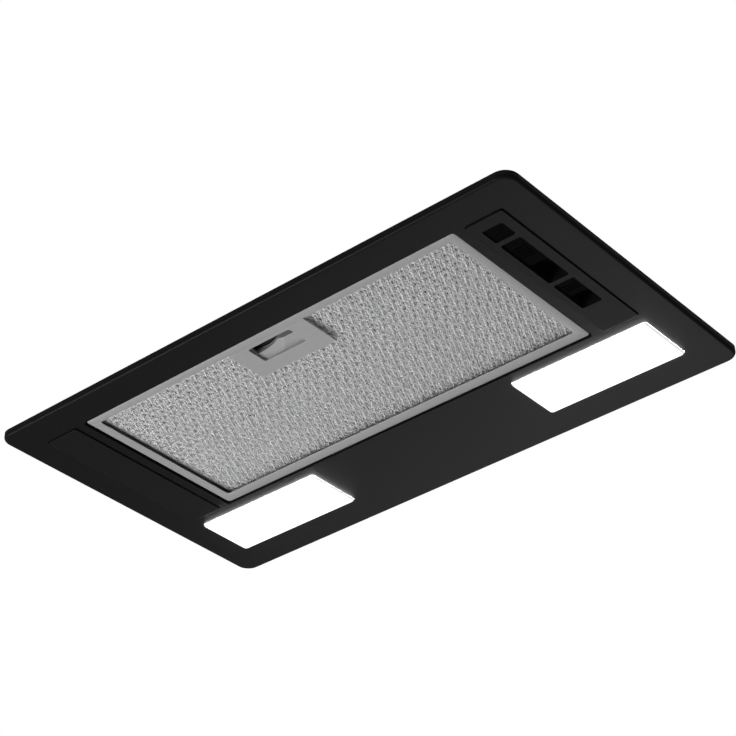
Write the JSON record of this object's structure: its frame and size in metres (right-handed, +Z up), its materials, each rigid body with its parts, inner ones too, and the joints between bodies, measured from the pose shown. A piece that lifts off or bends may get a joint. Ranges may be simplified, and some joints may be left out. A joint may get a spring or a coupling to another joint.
{
  "type": "built-in range hood",
  "caption": "Cabinet-built range hood: black face panel with swing-down grease filter, lit lamps and slide switches, a steel body with a cage-wheel blower and a round duct collar.",
  "frame": {"origin": "middle of the mounting plane, which is the upper edge of the face panel's rim", "axes": "+X along the long side towards the switches, -Y the front with the filter latch, +Z up"},
  "size_m": [0.525, 0.298, 0.228],
  "materials": {
    "panel_black": "satin black powder coat",
    "insert_black": "fine satin",
    "switch_black": "semi-gloss",
    "filter_aluminium": "matt",
    "latch_grey": "satin",
    "latch_dark": "matt",
    "lamp_opal": "opal",
    "lamp_white": "matt",
    "board_green": "solder mask",
    "board_black": "black solder mask",
    "led_yellow": "phosphor",
    "galvanised": "spangled zinc",
    "zinc": "bright zinc",
    "duct_black": "moulded",
    "scroll_grey": "moulded",
    "motor_alloy": "cast",
    "motor_core": "laminated",
    "copper": "enamelled wire",
    "bronze": "sintered",
    "steel": "ground",
    "rubber": "matt",
    "box_white": "moulded",
    "catch_plastic": "moulded"
  },
  "bodies": {
    "hood": {"face_panel": "panel_black", "switch_bezel": "insert_black", "blank_bezel": "insert_black", "switch_board": "board_black", "switch_bodies": "switch_black", "lamp_lens_left": "lamp_opal", "lamp_lens_right": "lamp_opal", "lamp_tray_left": "lamp_white", "lamp_tray_right": "lamp_white", "led_boards": "board_green", "led_chips": "led_yellow", "housing_shell": "galvanised", "end_plate_left": "galvanised", "end_plate_right": "galvanised", "housing_rivets": "zinc", "panel_brackets": "galvanised", "panel_screws": "zinc", "outlet_collar": "duct_black", "collar_screws": "zinc", "flap_pin": "steel", "scroll_left": "scroll_grey", "scroll_right": "scroll_grey", "blower_screws": "zinc", "motor_grommets": "rubber", "motor_bracket": "zinc", "motor_shield_front": "motor_alloy", "motor_shield_rear": "motor_alloy", "stator_stack": "motor_core", "stator_windings": "copper", "motor_bearings": "bronze", "control_box": "box_white", "control_box_lid": "box_white", "lid_screws": "zinc", "cable_gland": "duct_black", "capacitor": "box_white", "terminal_block": "box_white", "led_driver": "lamp_white", "catch_brackets": "galvanised", "catch_pins": "steel", "catch_springs": "steel", "latch_strike": "zinc"},
    "filter": {"filter_frame": "filter_aluminium", "filter_front_mesh": "filter_aluminium", "filter_core": "filter_aluminium", "filter_rear_mesh": "filter_aluminium", "filter_tongues": "latch_dark", "latch_plate": "latch_grey", "latch_box": "latch_dark", "latch_spring": "steel"},
    "latch": {"latch_handle": "latch_grey"},
    "speed_knob": {"speed_slider": "switch_black"},
    "light_knob": {"light_slider": "switch_black"},
    "button": {"push_button": "switch_black"},
    "wheel": {"impeller": "galvanised", "motor_shaft": "steel", "rotor": "motor_core"},
    "front_flap": {"flap_front": "duct_black"},
    "rear_flap": {"flap_rear": "duct_black"},
    "left_catch": {"side_catch_left": "catch_plastic"},
    "right_catch": {"side_catch_right": "catch_plastic"}
  },
  "joints": [
    {"name": "filter_swing", "type": "hinge", "parent": "hood", "child": "filter", "pos_m": [0, 0.0503, -0.005], "axis": [1, 0, 0], "range_deg": [0, 70]},
    {"name": "latch_slide", "type": "slide", "parent": "filter", "child": "latch", "axis": [0, -1, 0], "range_m": [0, 0.006], "stiffness_N_per_m": 300, "springref_m": 0.01, "deforming": ["latch_spring"]},
    {"name": "speed_slide", "type": "slide", "parent": "hood", "child": "speed_knob", "axis": [0, 1, 0], "range_m": [0, 0.024]},
    {"name": "light_slide", "type": "slide", "parent": "hood", "child": "light_knob", "axis": [0, 1, 0], "range_m": [0, 0.016]},
    {"name": "button_press", "type": "slide", "parent": "hood", "child": "button", "axis": [0, 0, 1], "range_m": [0, 0.002], "stiffness_N_per_m": 600, "springref_m": -0.001},
    {"name": "wheel_spin", "type": "hinge", "parent": "hood", "child": "wheel", "pos_m": [0, -0.032, 0.101], "axis": [1, 0, 0], "continuous": true},
    {"name": "front_flap_hinge", "type": "hinge", "parent": "hood", "child": "front_flap", "pos_m": [0, 0, 0.189], "axis": [-1, 0, 0], "range_deg": [0, 78]},
    {"name": "rear_flap_hinge", "type": "hinge", "parent": "hood", "child": "rear_flap", "pos_m": [0, 0, 0.189], "axis": [1, 0, 0], "range_deg": [0, 78]},
    {"name": "left_catch_hinge", "type": "hinge", "parent": "hood", "child": "left_catch", "pos_m": [-0.236, 0, 0.056], "axis": [0, -1, 0], "range_deg": [0, 14], "stiffness_Nm_per_rad": 0.6, "springref_deg": -11.46, "deforming": ["catch_springs"]},
    {"name": "right_catch_hinge", "type": "hinge", "parent": "hood", "child": "right_catch", "pos_m": [0.236, 0, 0.056], "axis": [0, 1, 0], "range_deg": [0, 14], "stiffness_Nm_per_rad": 0.6, "springref_deg": -11.46, "deforming": ["catch_springs"]}
  ]
}
